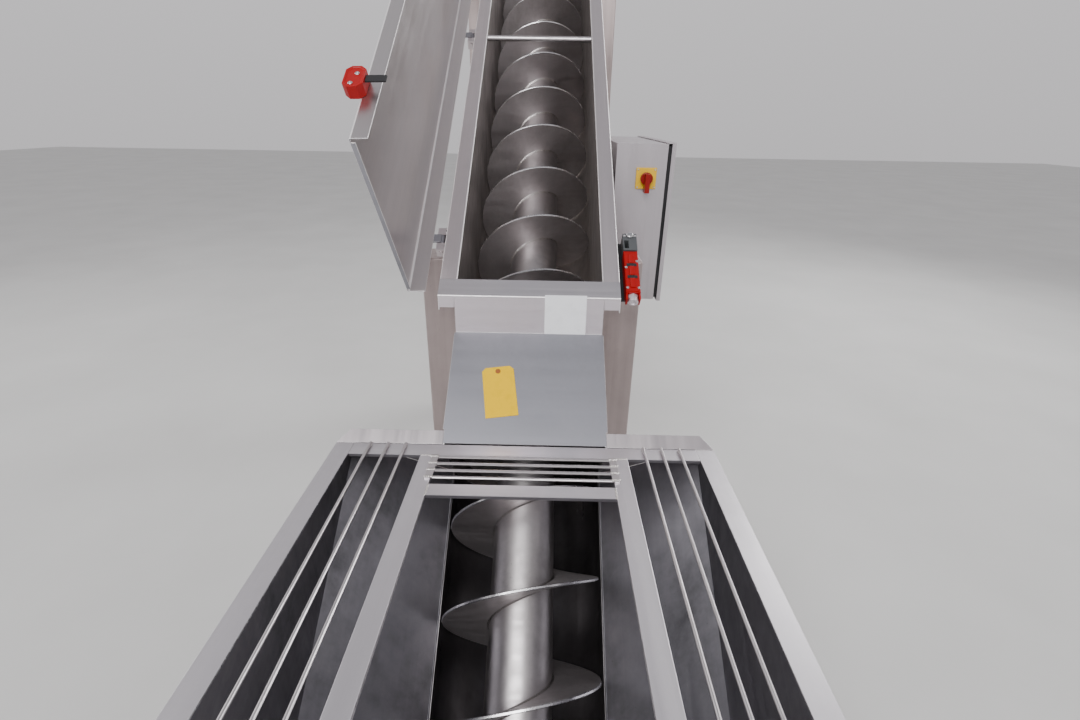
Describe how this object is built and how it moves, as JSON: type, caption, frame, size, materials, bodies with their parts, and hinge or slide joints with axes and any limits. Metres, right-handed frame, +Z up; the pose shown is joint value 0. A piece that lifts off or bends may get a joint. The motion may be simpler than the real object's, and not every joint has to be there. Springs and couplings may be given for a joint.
{
  "type": "inclined screw conveyor",
  "caption": "Stainless steel inclined screw conveyor with a level grilled infeed hopper, an open flanged trough, a hinged cover and a side control cabinet.",
  "frame": {"origin": "on the floor, at the middle of the underside of the base bar between the two front columns", "axes": "+Y along the conveyor, uphill from the infeed hopper to the drive; +Z up; +X to the right, the cabinet's side"},
  "size_m": [0.833, 3.4405, 2.6775],
  "materials": {
    "brushed_steel": "brushed, slightly pink grey",
    "dark_steel": "brushed, dull and soiled",
    "polished_steel": "polished by use",
    "drive_paint": "semi-gloss grey paint",
    "safety_red": "gloss",
    "grey_plastic": "matt",
    "signal_yellow": "gloss"
  },
  "bodies": {
    "frame": {"trough_bottom_in_hopper": "dark_steel", "trough": "dark_steel", "flange_right": "brushed_steel", "flange_left": "brushed_steel", "flange_front": "brushed_steel", "flange_far": "brushed_steel", "tie_bar": "polished_steel", "apron": "brushed_steel", "hopper_right_wall": "brushed_steel", "hopper_left_wall": "brushed_steel", "hopper_end_plate": "brushed_steel", "hopper_right_wing": "brushed_steel", "hopper_left_wing": "brushed_steel", "rim_right": "brushed_steel", "rim_left": "brushed_steel", "rim_near": "brushed_steel", "grille_far_bar": "brushed_steel", "grille_right_bar": "brushed_steel", "grille_left_bar": "brushed_steel", "grille_cross_bar": "brushed_steel", "grille_right_rods": "polished_steel", "grille_left_rods": "polished_steel", "grille_cross_rods": "polished_steel", "lower_bearing": "drive_paint", "upper_end_plate": "brushed_steel", "gearbox": "drive_paint", "motor": "drive_paint", "discharge_spout": "brushed_steel", "hinge_bracket_1": "brushed_steel", "hinge_bracket_2": "brushed_steel", "hinge_bracket_3": "brushed_steel", "switch_bracket": "brushed_steel", "switch_body": "safety_red", "switch_head": "grey_plastic", "switch_gland": "polished_steel", "cabinet_body": "brushed_steel", "door_pin_1": "polished_steel", "door_pin_2": "polished_steel", "isolator_plate": "signal_yellow", "front_column_right": "dark_steel", "front_column_left": "dark_steel", "front_base_bar": "dark_steel", "rear_column_right": "dark_steel", "rear_column_left": "dark_steel", "rear_base_bar": "dark_steel", "front_cross_bar": "dark_steel", "hopper_leg_right": "dark_steel", "hopper_leg_left": "dark_steel", "hopper_leg_tie": "dark_steel"},
    "cover": {"cover": "brushed_steel", "cover_knuckle_1": "brushed_steel", "cover_knuckle_2": "brushed_steel", "cover_knuckle_3": "brushed_steel", "actuator_block": "safety_red", "actuator_tongue": "dark_steel"},
    "screw": {"screw_tube": "polished_steel", "screw_flight": "polished_steel"},
    "door": {"cabinet_door": "brushed_steel"},
    "handle": {"isolator_handle": "safety_red"}
  },
  "joints": [
    {"name": "cover_hinge", "type": "hinge", "parent": "frame", "child": "cover", "pos_m": [-0.2405, -0.04928, 1.13786], "axis": [0, 0.809, 0.5878], "range_deg": [0, 91.5]},
    {"name": "screw_turn", "type": "hinge", "parent": "frame", "child": "screw", "pos_m": [0, -0.9683, 0.2081], "axis": [0, 0.809, 0.5878], "continuous": true},
    {"name": "door_hinge", "type": "hinge", "parent": "frame", "child": "door", "pos_m": [0.408, 0.816, 1.1455], "axis": [0, 0, 1], "range_deg": [0, 120]},
    {"name": "isolator_turn", "type": "hinge", "parent": "frame", "child": "handle", "pos_m": [0.331, 0.19, 1.285], "axis": [0, 1, 0], "range_deg": [0, 90]}
  ]
}
